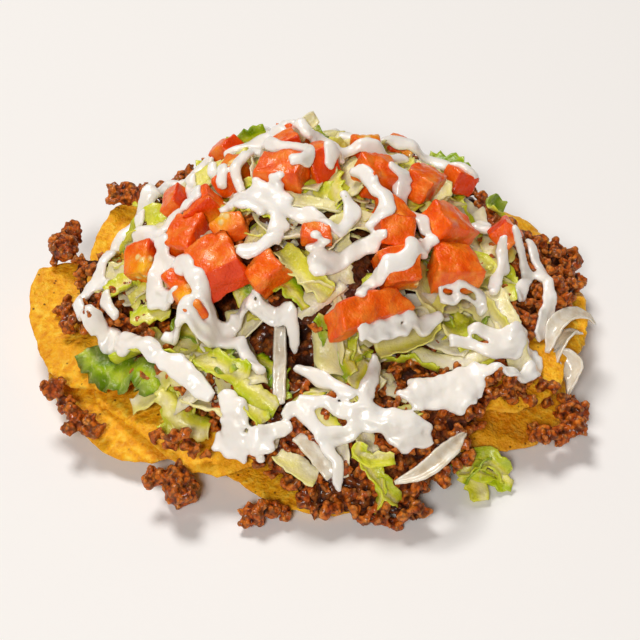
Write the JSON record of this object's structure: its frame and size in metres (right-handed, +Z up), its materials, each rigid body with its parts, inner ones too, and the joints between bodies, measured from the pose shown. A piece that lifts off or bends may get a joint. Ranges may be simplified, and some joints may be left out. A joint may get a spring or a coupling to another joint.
{
  "type": "nachos",
  "caption": "Heap of loaded nachos: round corn chips under crumbled beef, shredded lettuce, diced tomato and a thick cream drizzle.",
  "frame": {"origin": "on the floor, under the middle of the heap's box", "axes": "+Z up, through the top of the heap; the heap is seen from -Y"},
  "size_m": [0.1904, 0.1832, 0.0757],
  "materials": {
    "corn_chip": "baked corn, dry and finely pitted, with dark flecks",
    "beef": "browned mince, crumbly, with a slight wet gloss",
    "lettuce": "thin crisp leaf, pale at the rib and yellow green at the edge",
    "cream": "thick smooth cream, warm white and glossy",
    "tomato": "wet cut flesh with a smooth skin side",
    "rib": "near white, wet and slightly see-through"
  },
  "bodies": {
    "root": {"chip_centre": "corn_chip", "chip_front_low": "corn_chip", "chip_right_low": "corn_chip", "chip_back_low": "corn_chip", "chip_left_low": "corn_chip", "chip_front_right": "corn_chip", "chip_back_right": "corn_chip", "chip_back_left": "corn_chip", "chip_front_left": "corn_chip", "chip_left_curled": "corn_chip", "chip_upper_left": "corn_chip", "chip_front_upper": "corn_chip", "chip_right_upper": "corn_chip", "chip_right_rim": "corn_chip", "chip_back_upper": "corn_chip", "beef": "beef", "beef_left": "beef", "beef_left_low": "beef", "beef_front_left": "beef", "beef_front_crumb": "beef", "beef_back_left": "beef", "beef_right": "beef", "salad": "lettuce", "rib_slice_front": "rib", "rib_slice_right": "rib", "lettuce_sprig_front": "lettuce", "lettuce_sprig_right": "lettuce", "tomato_01": "tomato", "tomato_02": "tomato", "tomato_03": "tomato", "tomato_04": "tomato", "tomato_05": "tomato", "tomato_06": "tomato", "tomato_07": "tomato", "tomato_08": "tomato", "tomato_09": "tomato", "tomato_10": "tomato", "tomato_11": "tomato", "tomato_12": "tomato", "tomato_13": "tomato", "tomato_14": "tomato", "tomato_15": "tomato", "tomato_16": "tomato", "tomato_17": "tomato", "tomato_18": "tomato", "tomato_19": "tomato", "tomato_20": "tomato", "tomato_21": "tomato", "tomato_22": "tomato", "tomato_23": "tomato", "tomato_24": "tomato", "tomato_25": "tomato", "tomato_26": "tomato", "tomato_27": "tomato"}
  },
  "joints": []
}
